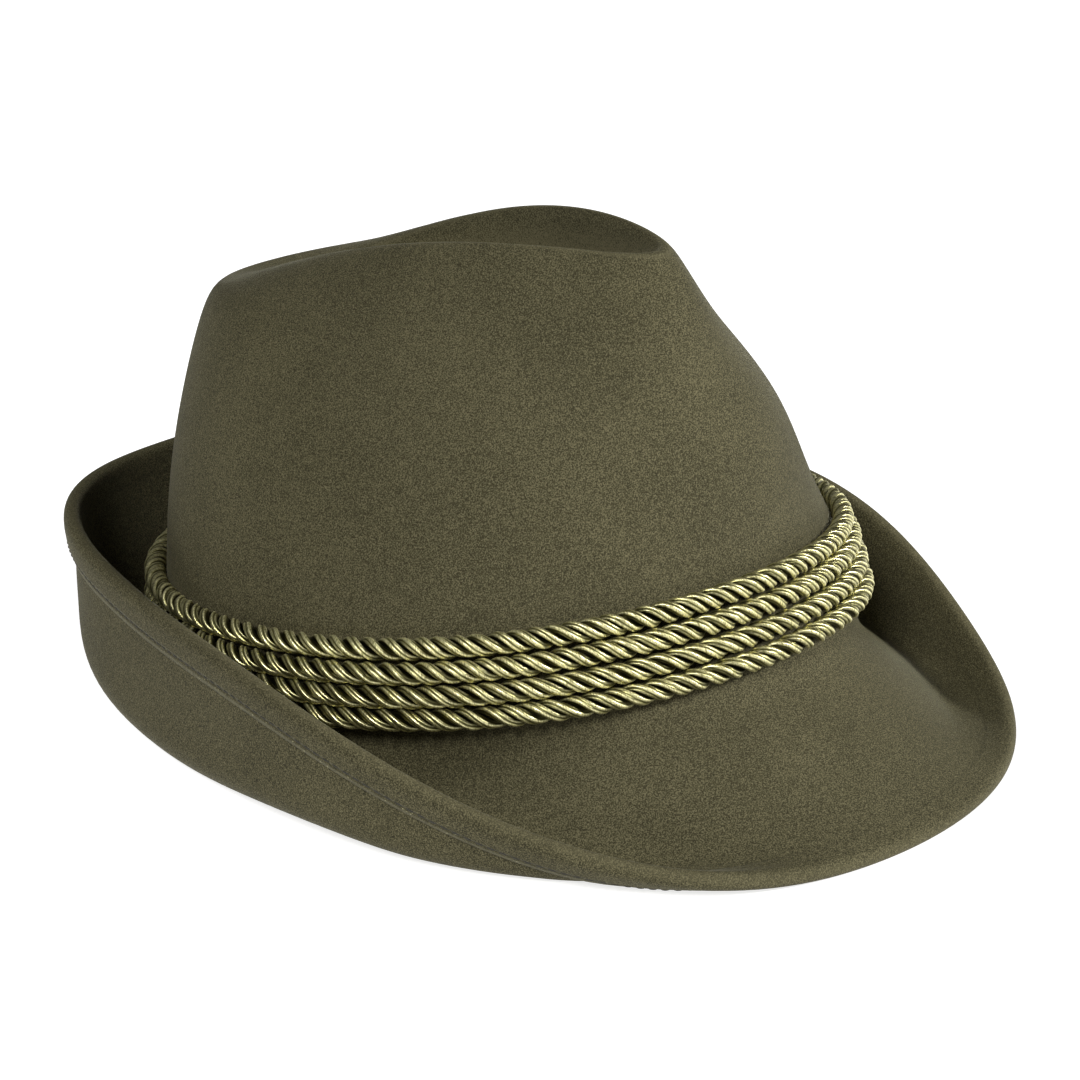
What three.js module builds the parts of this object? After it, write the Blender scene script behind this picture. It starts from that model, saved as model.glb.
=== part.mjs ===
// A tyrolean hat of wool felt, in millimetres: +Z up, its front towards -Y, its wearer's right towards -X.
// The crown and the brim are one blocked piece of felt, hollow below. The brim dips at the front and
// stands up at the sides and the back, its edge is folded to the underside and lies flat there, and four
// twisted cords lie round the foot of the crown. The hat lies on a table, z = 0, under its own weight.
import * as THREE from "three";

// Felt. The crown's half sizes are taken to the middle of the felt where the brim's bend starts.
const feltThickness = 2.4;
const crownHalfLength = 99.3;
const crownHalfWidth = 87.7;
const crownHeight = 103.3;
const brimWidth = 50;
const footRadius = 12;
const hemWidth = 10.5;
const hemEdgeThickness = 1.2;

// Cords
const cordCount = 4;
const cordDiameter = 5.8;
const lowestCordAboveFoot = 8.1;
const clearance = 0.3;

// How far the felt gives where the hat lies on the table, and the most that it can tip there
const settle = 1.2;
const mostPitch = THREE.MathUtils.degToRad(20);

// Fineness of the surfaces, and of the searches along them
const columns = 56;
const cordSides = 8;
const rowsPerCrownRing = 2;
const bendRows = 4;
const openBrimRows = 8;
const hemRows = 3;
const foldRows = 4;
const walkSteps = 8;
const halvings = 30;

// Crown, from the middle of the dent out to the ridge and down to the foot. length and middle are shares
// of the crown's half length, width of its half width, and front, side and back are heights there, as
// shares of its height. narrow pinches the ring at the front.
const crownRings = [
  { length: 0, middle: -0.02, width: 0, narrow: 0, front: 0.76, side: 0.76, back: 0.76 },
  { length: 0.22, middle: -0.02, width: 0.1, narrow: 0.1, front: 0.77, side: 0.75, back: 0.75 },
  { length: 0.42, middle: -0.02, width: 0.22, narrow: 0.2, front: 0.9, side: 0.8, back: 0.78 },
  { length: 0.59, middle: -0.025, width: 0.33, narrow: 0.3, front: 1.02, side: 0.94, back: 0.855 },
  { length: 0.665, middle: 0.005, width: 0.255, narrow: 0.36, front: 1.065, side: 1.135, back: 0.915 },
  { length: 0.77, middle: 0.04, width: 0.475, narrow: 0.32, front: 0.92, side: 0.96, back: 0.93 },
  { length: 0.8, middle: 0.035, width: 0.59, narrow: 0.215, front: 0.8, side: 0.88, back: 0.935 },
  { length: 0.9, middle: 0.005, width: 0.79, narrow: 0.13, front: 0.58, side: 0.66, back: 0.635 },
  { length: 0.92, middle: 0.025, width: 0.915, narrow: 0.07, front: 0.365, side: 0.38, back: 0.385 },
  { length: 0.905, middle: -0.01, width: 1.075, narrow: -0.015, front: 0.14, side: 0.16, back: 0.16 },
  { length: 1, middle: 0, width: 1, narrow: 0.04, front: 0, side: 0, back: 0 },
];

// Brim, evenly spaced from the front to the back. width is a share of brimWidth. The brim leaves the
// bend at slope degrees and curls to lip degrees at its edge, up being positive. The curl begins at
// curlStart and takes curlLength, both shares of the width there, and less than 0 is inside the bend.
const brimSections = [
  { width: 0.985, slope: -38, lip: -33, curlStart: 0.46, curlLength: 0.63 },
  { width: 0.965, slope: -46.5, lip: 26, curlStart: 0.52, curlLength: 0.41 },
  { width: 0.965, slope: -36.5, lip: 78, curlStart: 0.33, curlLength: 0.28 },
  { width: 0.895, slope: -10, lip: 91, curlStart: -0.06, curlLength: 0.39 },
  { width: 0.955, slope: -11, lip: 94.5, curlStart: -0.13, curlLength: 0.43 },
  { width: 1.13, slope: -5, lip: 91.5, curlStart: -0.13, curlLength: 0.62 },
  { width: 1.07, slope: -2, lip: 84, curlStart: -0.09, curlLength: 0.45 },
];

const turns = Array.from({ length: columns }, (_, column) => (column * 2 * Math.PI) / columns);

// A smooth wave round the hat, alike on both sides, through values evenly spaced from front to back.
function waveThrough(values) {
  const last = values.length - 1;
  const terms = values.map((_, term) => {
    let sum = 0;
    values.forEach((value, k) => {
      const share = k === 0 || k === last ? 0.5 : 1;
      sum += share * value * Math.cos((term * k * Math.PI) / last);
    });
    return (term === 0 || term === last ? sum : 2 * sum) / last;
  });
  return (turn) => terms.reduce((sum, size, term) => sum + size * Math.cos(term * turn), 0);
}

function brimWave(name) {
  return waveThrough(brimSections.map((section) => section[name]));
}

function crownRing({ length, middle, width, narrow, front, side, back }) {
  const height = waveThrough([front, side, back]);
  return turns.map((turn) => {
    const x = width * crownHalfWidth * Math.sin(turn) * (1 - narrow * Math.cos(turn));
    const y = crownHalfLength * (middle - length * Math.cos(turn));
    return new THREE.Vector3(x, y, crownHeight * height(turn));
  });
}

// Rows of points along the crown: a cubic B-spline over the rings, which starts and ends on the end rings.
function crownRows() {
  const rings = crownRings.map(crownRing);
  const beyond = (end, next) => end.map((point, column) => point.clone().multiplyScalar(2).sub(next[column]));
  const guides = [beyond(rings[0], rings[1]), ...rings, beyond(rings.at(-1), rings.at(-2))];
  const rows = [];
  const spans = rings.length - 1;
  for (let step = 0; step <= spans * rowsPerCrownRing; step += 1) {
    const span = Math.min(Math.floor(step / rowsPerCrownRing), spans - 1);
    const t = step / rowsPerCrownRing - span;
    const weights = [(1 - t) ** 3, 3 * t ** 3 - 6 * t ** 2 + 4, -3 * t ** 3 + 3 * t ** 2 + 3 * t + 1, t ** 3];
    rows.push(
      turns.map((_, column) => {
        const point = new THREE.Vector3();
        weights.forEach((weight, k) => point.addScaledVector(guides[span + k][column], weight / 6));
        return point;
      }),
    );
  }
  return rows;
}

// The level direction that points straight away from a ring, at each of its points.
function outwardFrom(ring) {
  return ring.map((_, column) => {
    const next = ring[(column + 1) % columns];
    const previous = ring[(column + columns - 1) % columns];
    return new THREE.Vector3(next.y - previous.y, previous.x - next.x, 0).normalize();
  });
}

// Lengths along the felt, from the foot outwards, at which the brim has a row of points.
function brimStations(bend, width) {
  const stations = [];
  const add = (from, to, count) => {
    for (let row = 1; row <= count; row += 1) stations.push(from + ((to - from) * row) / count);
  };
  add(0, bend, bendRows);
  add(bend, bend + width - hemWidth, openBrimRows);
  add(bend + width - hemWidth, bend + width - feltThickness, hemRows);
  return stations;
}

// Rows of points along the brim. Each column walks outwards from the foot of the crown: first round the
// bend, then down the slope, and then up the curl.
function brimRows(crown) {
  const foot = crown.at(-1);
  const outward = outwardFrom(foot);
  const width = brimWave("width");
  const slope = brimWave("slope");
  const lip = brimWave("lip");
  const curlStart = brimWave("curlStart");
  const curlLength = brimWave("curlLength");
  const walks = turns.map((turn, column) => {
    const wall = foot[column].clone().sub(crown.at(-2)[column]);
    const wallAngle = Math.atan2(wall.z, wall.dot(outward[column]));
    const slopeAngle = THREE.MathUtils.degToRad(slope(turn));
    const lipAngle = THREE.MathUtils.degToRad(lip(turn));
    const bend = footRadius * (slopeAngle - wallAngle);
    const brim = brimWidth * width(turn);
    const angleAt = (length) => {
      const open = THREE.MathUtils.lerp(wallAngle, slopeAngle, Math.min(length / bend, 1));
      const share = (length - bend) / brim;
      const start = curlStart(turn);
      const curled = THREE.MathUtils.smoothstep(share, start, start + curlLength(turn));
      return THREE.MathUtils.lerp(open, lipAngle, curled);
    };
    let length = 0;
    const point = foot[column].clone();
    return brimStations(bend, brim).map((station) => {
      const step = (station - length) / walkSteps;
      for (let k = 0; k < walkSteps; k += 1) {
        const angle = angleAt(length + step / 2);
        point.addScaledVector(outward[column], step * Math.cos(angle));
        point.z += step * Math.sin(angle);
        length += step;
      }
      return point.clone();
    });
  });
  return walks[0].map((_, row) => walks.map((walk) => walk[row]));
}

// Directions at a point of the middle surface: down the row lines, and straight out of the upper face.
function directionsAt(rows, row, column) {
  const before = rows[Math.max(row - 1, 0)][column];
  const after = rows[Math.min(row + 1, rows.length - 1)][column];
  const along = after.clone().sub(before).normalize();
  if (row === 0) return { along, out: new THREE.Vector3(0, 0, 1) };
  const round = rows[row][(column + 1) % columns].clone().sub(rows[row][(column + columns - 1) % columns]);
  const out = along.clone().cross(round).normalize();
  return { along: round.cross(out).normalize(), out };
}

const crown = crownRows();
const middleRows = [...crown, ...brimRows(crown)];
const lastRow = middleRows.length - 1;
const hemStart = lastRow - hemRows;
const upperFace = feltThickness / 2;
const underFace = -feltThickness / 2;
const directions = middleRows.map((row, k) => row.map((_, column) => directionsAt(middleRows, k, column)));

function offsetPoint(row, column, distance) {
  return middleRows[row][column].clone().addScaledVector(directions[row][column].out, distance);
}

function offsetRow(row, distance) {
  return { row, points: turns.map((_, column) => offsetPoint(row, column, distance)) };
}

// The round edge where the felt folds over, between the upper face and the face of the hem.
function foldRow(step) {
  const swing = (Math.PI * step) / foldRows;
  const points = turns.map((_, column) => {
    const { along, out } = directions[lastRow][column];
    return offsetPoint(lastRow, column, underFace)
      .addScaledVector(out, feltThickness * Math.cos(swing))
      .addScaledVector(along, feltThickness * Math.sin(swing));
  });
  return { row: lastRow, points };
}

// The outside of the folded part, which is pressed thinner and thinner towards its cut edge.
function hemFace(row) {
  const share = (lastRow - row) / hemRows;
  return underFace - THREE.MathUtils.lerp(feltThickness, hemEdgeThickness, share ** 2);
}

// Every row of the felt's skin in turn: over the crown and brim, round the fold, back over the hem, down
// its cut edge, and along the underside to the middle of the crown.
function feltSkin() {
  const skin = [];
  for (let row = 0; row <= lastRow; row += 1) skin.push(offsetRow(row, upperFace));
  for (let step = 1; step < foldRows; step += 1) skin.push(foldRow(step));
  for (let row = lastRow; row >= hemStart; row -= 1) skin.push(offsetRow(row, hemFace(row)));
  for (let row = hemStart; row >= 0; row -= 1) skin.push(offsetRow(row, underFace));
  return skin;
}

// A point beside the wall of the crown, with the wall's directions there. row may lie between two rows.
function besideWall(row, column, distance) {
  const upper = Math.floor(row);
  const lower = upper + 1;
  const share = row - upper;
  const mix = (name) =>
    directions[upper][column][name].clone().lerp(directions[lower][column][name], share).normalize();
  const point = offsetPoint(upper, column, distance).lerp(offsetPoint(lower, column, distance), share);
  return { point, out: mix("out"), along: mix("along") };
}

// The row at which a column's line beside the wall lies a given length above where it is at another row.
function rowAbove(row, column, distance, length) {
  const start = besideWall(row, column, distance).point;
  const isFar = (other) => besideWall(other, column, distance).point.distanceTo(start) > length;
  let near = row;
  while (!isFar(near - 1)) near -= 1;
  let far = near - 1;
  for (let k = 0; k < halvings; k += 1) {
    const middle = (near + far) / 2;
    if (isFar(middle)) far = middle;
    else near = middle;
  }
  return near;
}

// The rings of points along each cord, from the top one down. Each cord lies against the wall and on the
// cord below it.
function cordRings() {
  const radius = cordDiameter / 2;
  const reach = upperFace + clearance + radius;
  const cords = Array.from({ length: cordCount }, () => []);
  turns.forEach((_, column) => {
    let row = rowAbove(crown.length - 1, column, reach, lowestCordAboveFoot);
    for (let number = cordCount - 1; number >= 0; number -= 1) {
      const { point, out, along } = besideWall(row, column, reach);
      const ring = Array.from({ length: cordSides }, (_, side) => {
        const swing = ((side + 0.5) * 2 * Math.PI) / cordSides;
        return point
          .clone()
          .addScaledVector(out, radius * Math.cos(swing))
          .addScaledVector(along, -radius * Math.sin(swing));
      });
      cords[number].push(ring);
      if (number > 0) row = rowAbove(row, column, reach, cordDiameter + clearance);
    }
  });
  return cords;
}

// The hat tips about its cross axis until the front and the back of the brim are equally low.
function lean(point, pitch) {
  const y = point.y * Math.cos(pitch) + point.z * Math.sin(pitch);
  const z = point.z * Math.cos(pitch) - point.y * Math.sin(pitch);
  return new THREE.Vector3(point.x, y, z);
}

function restingPitch(points) {
  const lowest = (pitch, sign) =>
    Math.min(...points.filter((point) => point.y * sign > 0).map((point) => lean(point, pitch).z));
  let low = -mostPitch;
  let high = mostPitch;
  for (let k = 0; k < halvings; k += 1) {
    const middle = (low + high) / 2;
    if (lowest(middle, 1) > lowest(middle, -1)) low = middle;
    else high = middle;
  }
  return (low + high) / 2;
}

const skin = feltSkin();
const skinPoints = skin.flatMap(({ points }) => points);
const pitch = restingPitch(skinPoints);
const leaning = new THREE.Box3().setFromPoints(skinPoints.map((point) => lean(point, pitch)));
const middleY = (leaning.min.y + leaning.max.y) / 2;

function place(point) {
  return lean(point, pitch).add(new THREE.Vector3(0, -middleY, -leaning.min.z - settle));
}

// How far the table pushes the felt up, for each point of the middle surface. The whole thickness moves
// together, so the felt keeps its thickness where it lies flat.
function tablePush() {
  const push = middleRows.map((row) => row.map(() => 0));
  skin.forEach(({ row, points }) =>
    points.forEach((point, column) => {
      push[row][column] = Math.max(push[row][column], -place(point).z);
    }),
  );
  return push;
}

function placedFelt() {
  const push = tablePush();
  return skin.map(({ row, points }) => {
    const placed = points.map((point, column) => place(point).setZ(place(point).z + push[row][column]));
    return row === 0 ? placed.slice(0, 1) : placed;
  });
}

// Joins rings of points into one closed skin. A ring of one point is a pole, and a loop joins its last
// ring to its first. Each square is cut along a diagonal that mirrors the one on the hat's other side.
function skinGeometry(rings, isLoop) {
  const starts = [];
  const positions = [];
  rings.forEach((ring) => {
    starts.push(positions.length / 3);
    ring.forEach((point) => positions.push(point.x, point.y, point.z));
  });
  const corner = (ring, k) => starts[ring] + (k % rings[ring].length);
  const faces = [];
  const bands = isLoop ? rings.length : rings.length - 1;
  for (let band = 0; band < bands; band += 1) {
    const after = (band + 1) % rings.length;
    const size = Math.max(rings[band].length, rings[after].length);
    for (let k = 0; k < size; k += 1) {
      const square = [corner(band, k), corner(after, k), corner(after, k + 1), corner(band, k + 1)];
      if (k >= size / 2) square.push(square.shift());
      const [a, b, c, d] = square;
      const halves = [[a, b, c], [a, c, d]].filter((half) => new Set(half).size === 3);
      halves.forEach((half) => faces.push(...half));
    }
  }
  const geometry = new THREE.BufferGeometry();
  geometry.setAttribute("position", new THREE.Float32BufferAttribute(positions, 3));
  geometry.setIndex(faces);
  geometry.computeVertexNormals();
  return geometry;
}

function meshOf(name, geometry, material) {
  const mesh = new THREE.Mesh(geometry, material);
  mesh.name = name;
  return mesh;
}

const felt = new THREE.MeshStandardMaterial({ color: 0x595642, roughness: 0.95, metalness: 0 });
const cordYarn = new THREE.MeshStandardMaterial({ color: 0x9c9a66, roughness: 0.45, metalness: 0 });

const hat = new THREE.Group();
hat.add(meshOf("felt_body", skinGeometry(placedFelt(), false), felt));
cordRings().forEach((rings, above) => {
  const placed = rings.map((ring) => ring.map(place));
  hat.add(meshOf(`cord_${above + 1}`, skinGeometry(placed, true), cordYarn));
});

export default hat;
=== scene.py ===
"""A tyrolean hat of olive wool felt with four twisted cords, dressed for a studio picture.

Metres, +Z up, the hat's front towards -Y. The hat lies on a table at z = 0.
"""
import math

import bmesh
import bpy
import numpy as np
from mathutils import Matrix, Vector


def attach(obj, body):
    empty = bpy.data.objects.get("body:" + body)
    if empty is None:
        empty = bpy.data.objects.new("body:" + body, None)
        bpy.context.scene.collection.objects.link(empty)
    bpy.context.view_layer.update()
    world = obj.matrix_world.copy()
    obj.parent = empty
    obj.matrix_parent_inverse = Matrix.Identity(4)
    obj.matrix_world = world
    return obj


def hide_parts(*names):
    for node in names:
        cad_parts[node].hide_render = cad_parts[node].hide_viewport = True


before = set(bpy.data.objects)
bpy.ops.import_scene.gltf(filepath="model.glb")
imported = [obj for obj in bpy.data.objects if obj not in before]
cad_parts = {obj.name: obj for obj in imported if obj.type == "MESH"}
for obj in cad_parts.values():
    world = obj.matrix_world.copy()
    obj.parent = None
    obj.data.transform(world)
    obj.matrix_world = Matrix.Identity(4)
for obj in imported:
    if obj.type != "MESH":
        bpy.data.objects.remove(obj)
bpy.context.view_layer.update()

# The view. The hat's front is turned to the right of the picture, and the hat is seen from a little
# above through a long lens, so that its far side is hardly smaller than its near one.
view_turn, view_rise = math.radians(-48.2), math.radians(20.55)
view_distance, view_aside, view_above = 0.84575, 0.0034, 0.04195
lens_length, film_width = 101.9, 36

view_back = Vector((
    math.sin(view_turn) * math.cos(view_rise),
    -math.cos(view_turn) * math.cos(view_rise),
    math.sin(view_rise),
))
view_right = Vector((math.cos(view_turn), math.sin(view_turn), 0))
view_up = view_back.cross(view_right)
view_place = view_back * view_distance + view_right * view_aside + view_up * view_above
facing = Matrix((view_right, view_up, view_back)).transposed().to_4x4()

camera_data = bpy.data.cameras.new("studio_camera")
camera_data.lens = lens_length
camera_data.sensor_width = film_width
camera_data.clip_end = 20
camera = bpy.data.objects.new("studio_camera", camera_data)
camera.matrix_world = Matrix.Translation(view_place) @ facing
bpy.context.scene.collection.objects.link(camera)
bpy.context.scene.camera = camera
bpy.context.scene.view_settings.view_transform = "Standard"


# The felt body. Crown and brim are one piece of wool felt, steamed over a block, and the brim's edge
# is folded to the underside, pressed flat and stitched there. The wool is a mixture of olive greens,
# with a short nap. Its colour also carries painted light: a painted highlight on the cut edge below the
# fold, a painted sheen along the rim and the dent's ridge, painted light inside the dent and painted
# shade in the stitch groove.
class Strand:
    """A socket of a finish. Sums, differences and products of strands are Math nodes."""

    def __init__(self, finish, socket):
        self.finish = finish
        self.socket = socket

    def maths(self, operation, first, second=0.0):
        settings = {"operation": operation}
        return self.finish.node("ShaderNodeMath", settings, {0: first, 1: second})

    def __add__(self, other):
        return self.maths("ADD", self, other)

    __radd__ = __add__

    def __sub__(self, other):
        return self.maths("SUBTRACT", self, other)

    def __rsub__(self, other):
        return self.maths("SUBTRACT", other, self)

    def __mul__(self, other):
        return self.maths("MULTIPLY", self, other)

    __rmul__ = __mul__

    def rising(self, start, end):
        """0 before start, 1 after end and smooth between them."""
        settings = {"interpolation_type": "SMOOTHSTEP"}
        inputs = {"Value": self, "From Min": start, "From Max": end}
        return self.finish.node("ShaderNodeMapRange", settings, inputs)

    def line_at(self, middle, reach):
        """1 at middle, fading to 0 at reach to either side of it."""
        return self.rising(middle - reach, middle) - self.rising(middle, middle + reach)


class Finish:
    """A material with one Principled shader, and the nodes that feed it."""

    def __init__(self, name):
        self.material = bpy.data.materials.new(name)
        self.material.use_nodes = True
        self.tree = self.material.node_tree
        self.shader = self.tree.nodes["Principled BSDF"]

    def node(self, kind, settings=None, inputs=None, output=0):
        """One output of a new node, whose sockets hold the inputs' values or are linked to them."""
        made = self.tree.nodes.new(kind)
        for name, value in (settings or {}).items():
            if name == "stops":
                stops = made.color_ramp.elements
                while len(stops) < len(value):
                    stops.new(0.5)
                for stop, (place, colour) in zip(stops, value):
                    stop.position = place
                    stop.color = (*colour, 1)
            else:
                setattr(made, name, value)
        self.feed(made, inputs or {})
        return Strand(self, made.outputs[output])

    def feed(self, made, inputs):
        for name, value in inputs.items():
            socket = made.inputs[name]
            if isinstance(value, Strand):
                self.tree.links.new(value.socket, socket)
            elif isinstance(socket.default_value, (float, int)):
                socket.default_value = value
            else:
                socket.default_value = (*value, 1)[: len(socket.default_value)]

    def shade(self, inputs):
        self.feed(self.shader, inputs)

    def attribute(self, name):
        """A number kept on the piece's own points."""
        return self.node("ShaderNodeAttribute", {"attribute_name": name}, output="Fac")

    def mixed(self, share, first, second):
        """Two colours mixed by a share."""
        inputs = {0: share, 6: first, 7: second}
        return self.node("ShaderNodeMix", {"data_type": "RGBA"}, inputs, output=2)

    def flecks(self, place, size, detail, roughness=0.5):
        """Soft noise with flecks of about the given size, in metres."""
        inputs = {"Vector": place, "Scale": 1 / size, "Detail": detail, "Roughness": roughness}
        return self.node("ShaderNodeTexNoise", {}, inputs)

    def raised(self, height, strength, distance):
        """The direction that a surface with a fine relief faces in."""
        inputs = {"Strength": strength, "Distance": distance, "Height": height}
        return self.node("ShaderNodeBump", {}, inputs)


# The solid's points stand in rings of 56, counted from the middle of the crown: one is the ridge of the
# dent, one the middle of the fold, and the hem's face has the rings from the first to the last given.
columns, ridge_row, rim_row, hem_rows = 56, 8, 37, (39, 42)
hem_width = 0.0105
stitch_line = hem_width - 0.0012
hem_crease, pole_length = 0.7, 0.25
same_point = 1e-6

felt_dark, felt_middle = (0.0195, 0.0174, 0.0070), (0.0545, 0.0486, 0.0218)
# Below, the second colour is the painted highlight on the cut edge below the fold.
felt_light, felt_edge_highlight = (0.134, 0.120, 0.064), (0.122, 0.113, 0.068)
lint, felt_sheen = (0.34, 0.32, 0.18), (0.75, 0.73, 0.56)
# The second number below is the share by which painted light lightens the felt inside the dent.
patchiness, painted_dent_light_share = 0.07, 0.14


def turn_from_front(x, y, middle, margin):
    """The turn of a point round the hat, counted from a small margin before the hat's front."""
    return (np.arctan2(x, middle - y) + margin) % math.tau


felt = bmesh.new()
felt.from_mesh(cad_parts["felt_body"].data)
bmesh.ops.remove_doubles(felt, verts=felt.verts, dist=same_point)
from_rim = felt.verts.layers.float.new("from_rim")
from_ridge = felt.verts.layers.float.new("from_ridge")
crease = felt.edges.layers.float.new("crease_edge")

# Rings of points from the middle of the crown over the brim and its fold to the middle below, each
# ring in order round the hat from its front.
poles = [v for v in felt.verts if len(v.link_edges) == columns]
crown_middle = max(poles, key=lambda v: v.co.z)
rings = [[crown_middle]]
reached = {crown_middle}
while len(reached) < len(felt.verts):
    ring = {edge.other_vert(v) for v in rings[-1] for edge in v.link_edges} - reached
    reached |= ring
    ys = [v.co.y for v in ring]
    middle = (min(ys) + max(ys)) / 2
    rings.append(sorted(ring, key=lambda v: turn_from_front(v.co.x, v.co.y, middle, margin=0.01)))
column_of = {v: k for ring in rings for k, v in enumerate(ring)}
ring_of = {v: k for k, ring in enumerate(rings) for v in ring}

diagonals = [
    edge
    for edge in felt.edges
    if not set(poles) & set(edge.verts)
    and len({ring_of[v] for v in edge.verts}) == 2
    and len({column_of[v] for v in edge.verts}) == 2
]
bmesh.ops.dissolve_edges(felt, edges=diagonals, use_verts=False)

# Length along the felt from the middle of the fold: positive over the brim, negative under it.
for column in range(columns):
    for side, last in ((1, 1), (-1, len(rings) - 2)):
        length = 0
        for ring in range(rim_row - side, last - side, -side):
            here, nearer = rings[ring][column], rings[ring + side][column]
            length += (here.co - nearer.co).length
            here[from_rim] = side * length
for pole, side in ((rings[0][0], 1), (rings[-1][0], -1)):
    pole[from_rim] = pole[from_ridge] = side * pole_length
for ring in rings[1:-1]:
    for v, ridge in zip(ring, rings[ridge_row]):
        v[from_ridge] = v[from_rim] - ridge[from_rim]
for edge in felt.edges:
    on_rings = {ring_of[v] for v in edge.verts}
    if on_rings in ({hem_rows[1]}, {hem_rows[1] + 1}):
        edge[crease] = hem_crease

# Subdivision pulls each point towards its neighbours, so the points are first moved as far the other
# way. The smooth surface then passes through the solid's own points and keeps the solid's form.
grid = np.array([[v.co for v in ring] for ring in rings[1:-1]])
beside = np.roll(grid, 1, 1) + np.roll(grid, -1, 1)
pulled = grid.copy()
pulled[1:-1] = (
    16 * grid[1:-1]
    + 4 * (grid[:-2] + grid[2:] + beside[1:-1])
    + beside[:-2]
    + beside[2:]
) / 36
creased = slice(hem_rows[1] - 1, hem_rows[1] + 1)
pulled[creased] = grid[creased]
for ring, row in zip(rings[1:-1], 2 * grid - pulled):
    for v, co in zip(ring, row):
        v.co = (co[0], co[1], max(co[2], 0))

# The hem's own rows, where the stitches go.
hem_rings = rings[hem_rows[0] : hem_rows[1] + 1]
hem_points = np.array([[v.co for v in ring] for ring in hem_rings])
hem_lengths = np.array([[-v[from_rim] for v in ring] for ring in hem_rings])

wool = Finish("olive_wool_felt")
place = wool.node("ShaderNodeTexCoord", output="Object")
rim_length = wool.attribute("from_rim")
ridge_length = wool.attribute("from_ridge")
fine = wool.flecks(place, size=0.00034, detail=2, roughness=0.6)
middling = wool.flecks(place, size=0.0020, detail=2)
broad = wool.flecks(place, size=0.026, detail=1)
nap = wool.flecks(place, size=0.0007, detail=3, roughness=0.65)
bits = wool.flecks(place, size=0.0009, detail=1)

# Painted light: the felt inside the dent, beyond the ridge, is made lighter in tone.
painted_dent_light = ridge_length.rising(0.001, 0.012)
tone = fine + patchiness * (middling - 0.5) + patchiness * (broad - 0.5) + painted_dent_light_share * painted_dent_light
tones = wool.node(
    "ShaderNodeValToRGB",
    {"stops": [(0.36, felt_dark), (0.5, felt_middle), (0.64, felt_light)]},
    {"Fac": tone},
)
# Painted highlight: a pale line on the cut edge below the fold, where the edge catches the light,
# flecked at random.
cut_edge_highlight = rim_length.line_at(-hem_width - 0.0005, reach=0.0007)
# Painted sheen: a pale band along the middle of the fold at the rim, and a pale line along the dent's
# ridge.
painted_edge_sheen = rim_length.line_at(0.0004, reach=0.0036) + 1.5 * ridge_length.line_at(0, reach=0.0016)
specks = bits.rising(0.70, 0.76) * rim_length.line_at(-hem_width, reach=0.0022)
# Painted shade: the stitch groove, on the brim's upper face and on the hem, is darkened in colour; the
# relief also sinks it.
pressed = rim_length.line_at(stitch_line, reach=0.0012)
shaded_groove = 0.35 * pressed + rim_length.line_at(-stitch_line, reach=0.0009)
colour = wool.mixed((0.25 + 0.8 * middling) * cut_edge_highlight, tones, felt_edge_highlight)
colour = wool.mixed(0.22 * painted_edge_sheen, colour, felt_light)
colour = wool.mixed(0.45 * shaded_groove, colour, felt_dark)
colour = wool.mixed(specks, colour, lint)
relief = nap + 0.4 * middling - 1.2 * shaded_groove
wool.shade({
    "Base Color": colour,
    "Roughness": 0.86 + 0.1 * fine,
    "Normal": wool.raised(relief, strength=0.55, distance=0.0004),
    "Specular IOR Level": 0.25,
    "Sheen Weight": 0.12,
    "Sheen Roughness": 0.25,
    "Sheen Tint": felt_sheen,
})


def finished(name, bm, finish):
    """An object from a bmesh, with its finish."""
    mesh = bpy.data.meshes.new(name)
    bm.to_mesh(mesh)
    bm.free()
    mesh.materials.append(finish.material)
    made = bpy.data.objects.new(name, mesh)
    bpy.context.scene.collection.objects.link(made)
    return made


def hat_piece(name, bm, finish):
    """A smooth piece that rides on the hat's one body."""
    piece = finished(name, bm, finish)
    piece.data.shade_smooth()
    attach(piece, "root")
    return piece


felt_piece = hat_piece("hat_felt", felt, wool)
smoothing = felt_piece.modifiers.new("smoothing", "SUBSURF")
smoothing.levels = smoothing.render_levels = 2
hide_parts("felt_body")


# The stitches. A row of dark thread holds the fold of the brim close to its cut edge, a stitch every
# three millimetres or so, sunk a little in the felt.
def along_loop(values, places):
    """Values at places round a closed row, on the smooth curve through the row's own."""
    start = np.floor(places).astype(int)
    share = (places - start)[:, None]
    before, here, after, beyond = (values[(start + k) % len(values)] for k in (-1, 0, 1, 2))
    slope = after - before
    turn = 2 * before - 5 * here + 4 * after - beyond
    bend = 3 * here - before - 3 * after + beyond
    return here + 0.5 * share * (slope + share * (turn + share * bend))


def even_places(points, spacing):
    """Places at about the given spacing round a closed row of points, and the loop's length."""
    parts_per_point = 40
    close_places = np.linspace(0, len(points), parts_per_point * len(points) + 1)
    curve = along_loop(points, close_places)
    run = np.concatenate([[0], np.cumsum(np.linalg.norm(np.diff(curve, axis=0), axis=1))])
    even_run = np.linspace(0, run[-1], round(run[-1] / spacing), endpoint=False)
    return np.interp(even_run, run, close_places), run[-1]


stitch_spacing, stitch_length, thread = 0.0031, 0.0022, 0.00056
stitch_sink, look_ahead = 0.08 * thread, 0.05
thread_dark, thread_light = (0.010, 0.009, 0.005), (0.034, 0.031, 0.018)

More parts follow.
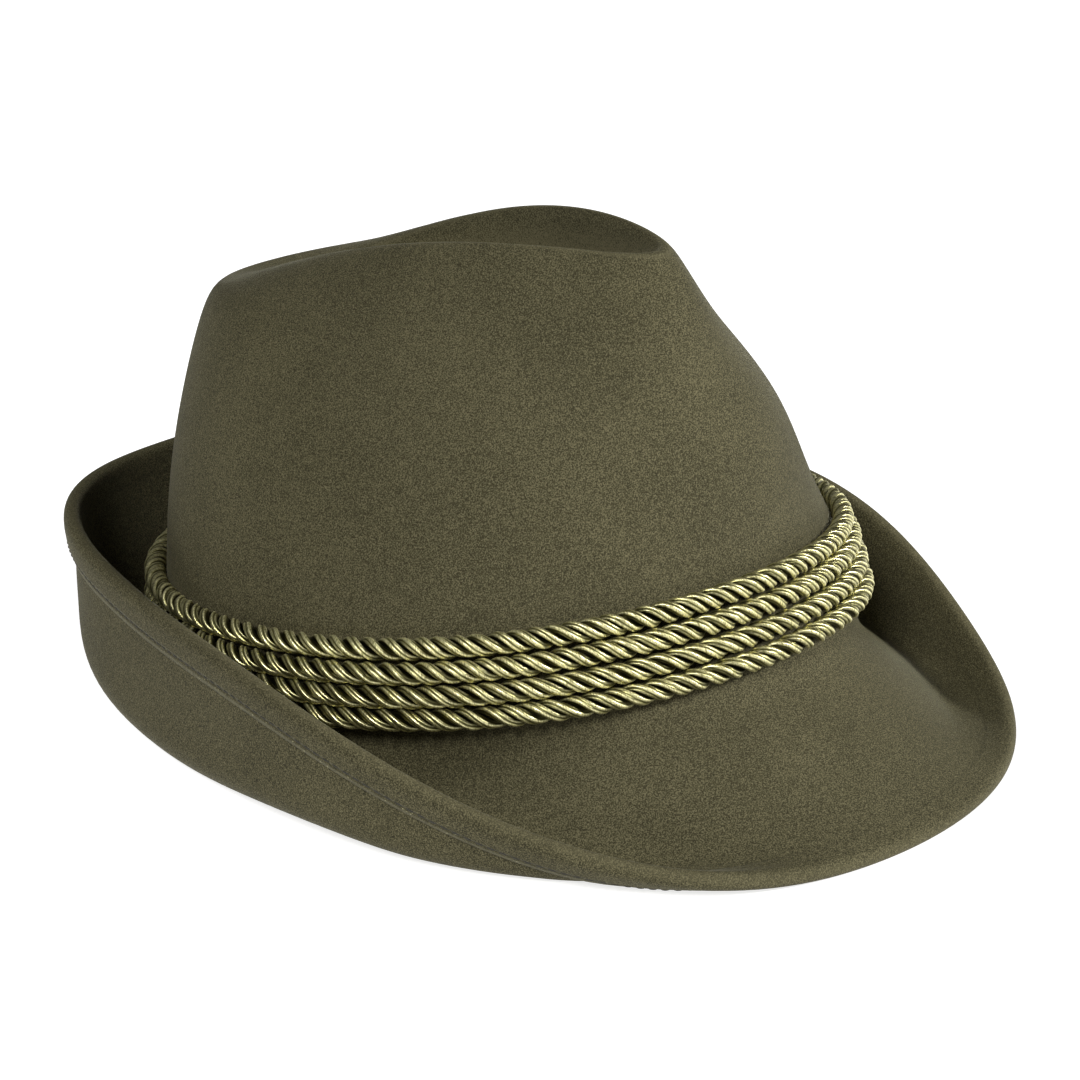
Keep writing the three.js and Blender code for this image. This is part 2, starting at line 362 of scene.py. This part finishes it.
seam = np.array([
    [np.interp(stitch_line, lengths, points[:, axis]) for axis in range(3)]
    for lengths, points in zip(hem_lengths.T, hem_points.transpose(1, 0, 2))
])
places, _ = even_places(seam, stitch_spacing)
smooth_felt = felt_piece.evaluated_get(bpy.context.evaluated_depsgraph_get())
stitches = bmesh.new()
for point, ahead in zip(along_loop(seam, places), along_loop(seam, places + look_ahead)):
    _, spot, out, _ = smooth_felt.closest_point_on_mesh(point)
    spot -= out * stitch_sink
    spot.z = max(spot.z, thread / 2)
    run = Vector(ahead - point)
    run = (run - out * run.dot(out)).normalized()
    turned = Matrix((run, out.cross(run), out)).transposed().to_4x4()
    sized = Matrix.Diagonal((stitch_length / 2, thread / 2, thread / 2, 1))
    bmesh.ops.create_icosphere(
        stitches, subdivisions=2, radius=1, matrix=Matrix.Translation(spot) @ turned @ sized
    )

sewing = Finish("dark_sewing_thread")
place = sewing.node("ShaderNodeTexCoord", output="Object")
twist = sewing.flecks(place, size=0.0003, detail=2)
sewing.shade({
    "Base Color": sewing.mixed(twist, thread_dark, thread_light),
    "Roughness": 0.7,
    "Normal": sewing.raised(twist, strength=0.5, distance=0.0001),
})
hat_piece("hem_stitches", stitches, sewing)


# The cords. Four rows of satin cord lie round the foot of the crown, each of three plies laid up
# right-handed, and each ply of fine yarns. A painted highlight runs along each yarn's crest, and
# painted shade lies between the yarns and where the plies lie deep in the cord.
cord_radius, cord_pitches = 0.00298, {1: 0.0140, 2: 0.0145, 3: 0.0157, 4: 0.0162}
plies, yarns, yarn_sides, steps_per_pitch = 3, 4, 10, 16
ply_middle, ply_depth, ply_breadth = 0.52, 0.48, 0.54
yarn_relief, yarn_turns_per_pitch = 0.20, -0.35
lay_waver, breadth_waver, wave_counts, first_seed = 0.09, 0.05, (9, 30), 41
fibre_stretch = (1700, 6, 1)
# The first colour below is a painted highlight for the yarns' crests; the darkest, on the next line, is
# a painted shade for the hollows.
satin_painted_highlight, satin_middle = (1.0, 0.94, 0.52), (0.31, 0.290, 0.115)
satin_painted_shade = (0.034, 0.031, 0.010)

satin = Finish("khaki_satin_cord")
uv = satin.node("ShaderNodeUVMap", {"uv_map": "UVMap"})
round_ply = satin.node("ShaderNodeSeparateXYZ", {}, {0: uv}, output=1)
crest = satin.node("ShaderNodeMath", {"operation": "COSINE"}, {0: round_ply * (math.pi * yarns)})
crest = satin.node("ShaderNodeMath", {"operation": "ABSOLUTE"}, {0: crest})
tucked = satin.attribute("from_axis")
stretched = satin.node("ShaderNodeVectorMath", {"operation": "MULTIPLY"}, {0: uv, 1: fibre_stretch})
fibres = satin.node("ShaderNodeTexNoise", {}, {"Vector": stretched, "Scale": 1, "Detail": 3})
place = satin.node("ShaderNodeTexCoord", output="Object")
drift = satin.flecks(place, size=0.005, detail=1)
# Painted highlight: the yarns' crests are made pale cream, broken by the fibres.
satin_with_painted_light = satin.mixed(crest.rising(0.3, 0.8) * fibres.rising(0.28, 0.6), satin_middle, satin_painted_highlight)
satin_with_painted_light = satin.mixed(0.35 * drift, satin_with_painted_light, satin_middle)
# Painted shade: the hollows between the yarns, and the parts of the plies that lie deep in the cord,
# are darkened.
satin_with_painted_light = satin.mixed(1 - crest.rising(0.0, 0.3), satin_with_painted_light, satin_painted_shade)
satin_with_painted_light = satin.mixed(1 - tucked.rising(0.62, 0.95), satin_with_painted_light, satin_painted_shade)
satin.shade({
    "Base Color": satin_with_painted_light,
    "Roughness": 0.26 + 0.08 * fibres,
    "Metallic": 0.92,
    "Anisotropic": 0.9,
    "Anisotropic Rotation": 0.875,
    "Normal": satin.raised(fibres, strength=0.4, distance=0.0001),
})

for row, pitch in cord_pitches.items():
    rough = bmesh.new()
    rough.from_mesh(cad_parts[f"cord_{row}"].data)
    bmesh.ops.remove_doubles(rough, verts=rough.verts, dist=same_point)
    points = np.array([v.co for v in rough.verts])
    rough.free()
    centre = (points.min(0) + points.max(0)) / 2
    order = np.argsort(turn_from_front(points[:, 0], points[:, 1], centre[1], margin=0.05))
    middles = points[order].reshape(columns, -1, 3).mean(1)

    # The cord's middle line, and at each of its points the level direction away from the crown and
    # the one square to it.
    _, loop_length = even_places(middles, spacing=0.001)
    pitches = round(loop_length / pitch)
    steps = pitches * steps_per_pitch
    places, _ = even_places(middles, loop_length / steps)
    line = along_loop(middles, places)
    run = np.roll(line, -1, 0) - np.roll(line, 1, 0)
    run /= np.linalg.norm(run, axis=1)[:, None]
    out = np.cross(run, (0, 0, 1))
    out /= np.linalg.norm(out, axis=1)[:, None]
    if (out * (line - line.mean(0))).sum() < 0:
        out = -out
    side = np.cross(run, out)

    # Each ply is a sheet rolled into a tube that winds round the line, and swells at each yarn.
    rng = np.random.default_rng(first_seed + row - 1)
    start = rng.uniform(0, math.tau)
    yarn_turns = round(yarn_turns_per_pitch * pitches * yarns) / yarns
    cord = bmesh.new()
    cord.loops.layers.uv.new("UVMap")
    from_axis = cord.verts.layers.float.new("from_axis")
    for ply in range(plies):
        sheet = bmesh.ops.create_grid(
            cord, x_segments=steps, y_segments=yarns * yarn_sides, size=0.5, calc_uvs=True
        )["verts"]
        square = np.array([v.co for v in sheet])
        step = np.rint((square[:, 0] + 0.5) * steps).astype(int)
        swing = (square[:, 1] + 0.5) * math.tau
        share = step / steps
        line_here, out_here, side_here = (values[step % steps] for values in (line, out, side))
        waves = [
            np.sin(math.tau * (rng.integers(*wave_counts) * share + rng.random()))
            for _ in range(4)
        ]
        lay = start + math.tau * (ply / plies + pitches * share) + lay_waver * (waves[0] + waves[1])
        wander = 1 + breadth_waver * (waves[2] + waves[3])
        outward = np.cos(lay)[:, None] * out_here + np.sin(lay)[:, None] * side_here
        across = np.cos(lay)[:, None] * side_here - np.sin(lay)[:, None] * out_here
        swell = (1 - yarn_relief) + yarn_relief * np.abs(np.cos(swing * yarns / 2))
        angle = swing + math.tau * yarn_turns * share
        depth = cord_radius * (ply_middle + ply_depth * swell * np.cos(angle))[:, None]
        breadth = cord_radius * (ply_breadth * wander * swell * np.sin(angle))[:, None]
        moved = line_here + depth * outward + breadth * across
        for v, co, far in zip(sheet, moved, np.hypot(depth, breadth)[:, 0] / cord_radius):
            v.co = co
            v[from_axis] = far
    bmesh.ops.remove_doubles(cord, verts=cord.verts, dist=2 * same_point)
    bmesh.ops.recalc_face_normals(cord, faces=cord.faces)
    cord_piece = hat_piece(f"satin_cord_{row}", cord, satin)
    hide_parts(f"cord_{row}")


# The studio. A wide pale table that glows with the light it stands in, a broad main light low to the
# right of the view, a second one higher to the left of it, and a dim room.
pale = Finish("pale_table")
pale.shade({
    "Base Color": (0.52, 0.52, 0.518),
    "Roughness": 0.8,
    "Specular IOR Level": 0.1,
    "Emission Color": (1.0, 1.0, 1.0),
    "Emission Strength": 0.77,
})
table_top = bmesh.new()
bmesh.ops.create_grid(table_top, x_segments=1, y_segments=1, size=5)
table = finished("table_top", table_top, pale)


def studio_light(name, right, back, up, softness, strength):
    """A far, soft light, from a direction given along the view's own."""
    light_data = bpy.data.lights.new(name, "SUN")
    light_data.angle = math.radians(softness)
    light_data.energy = strength
    light = bpy.data.objects.new(name, light_data)
    level_back = Vector((view_back.x, view_back.y, 0)).normalized()
    spot = view_right * right + level_back * back + Vector((0, 0, up))
    aimed = (-spot).to_track_quat("-Z", "Y").to_matrix().to_4x4()
    light.matrix_world = Matrix.Translation(spot) @ aimed
    bpy.context.scene.collection.objects.link(light)


studio_light("main_light", right=1.0, back=0.17, up=0.58, softness=12, strength=3.3)
studio_light("fill_light", right=-0.36, back=1.0, up=0.90, softness=16, strength=2.25)

room = bpy.data.worlds.new("pale_room")
room.use_nodes = True
room_light = room.node_tree.nodes["Background"].inputs
room_light["Color"].default_value = (1, 1, 1, 1)
room_light["Strength"].default_value = 0.10
bpy.context.scene.world = room
